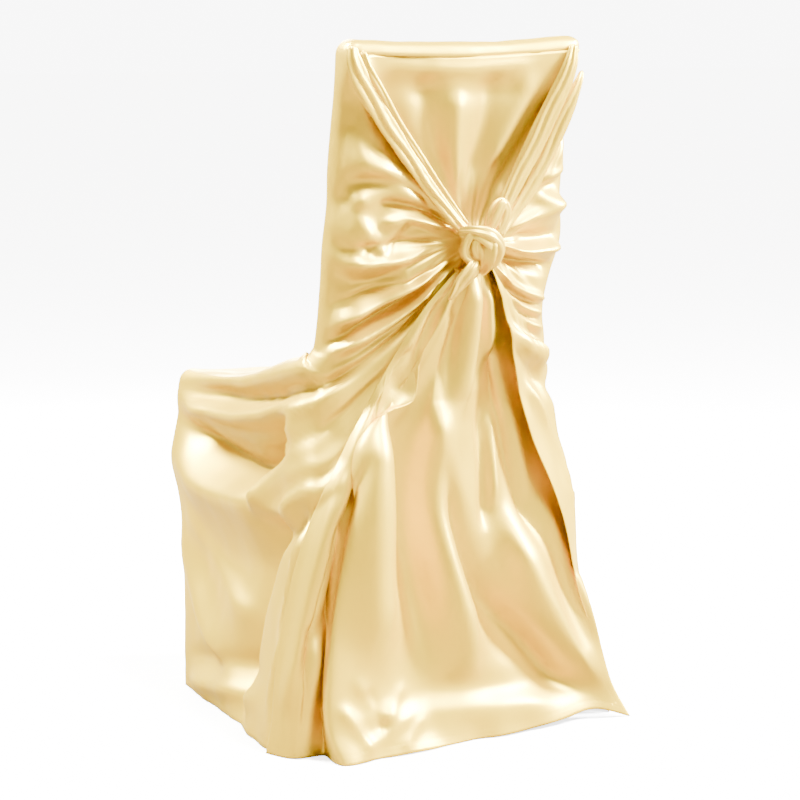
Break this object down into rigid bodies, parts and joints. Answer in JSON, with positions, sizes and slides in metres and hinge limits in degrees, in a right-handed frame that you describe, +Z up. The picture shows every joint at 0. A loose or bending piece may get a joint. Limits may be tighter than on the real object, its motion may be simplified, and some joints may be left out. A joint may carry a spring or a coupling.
{
  "type": "chair cover with sash",
  "caption": "Floor-length satin cover for a high-backed dining chair, its rear wings gathered and tied in a knot behind the back",
  "frame": {"origin": "on the floor, under the middle of the object's bounding box", "axes": "+Z up; +Y towards the front of the chair the cover is cut for; -Y is the side with the knot, which the picture shows; +X is the picture's right"},
  "size_m": [0.5373, 0.5559, 0.9645],
  "materials": {
    "satin": "glossy woven satin, gold to champagne",
    "satin_tie": "glossy woven satin, pale gold"
  },
  "bodies": {
    "root": {"cover": "satin", "back_panel": "satin", "knot": "satin_tie", "tie_end_left": "satin_tie", "tie_end_upper": "satin_tie"}
  },
  "joints": []
}
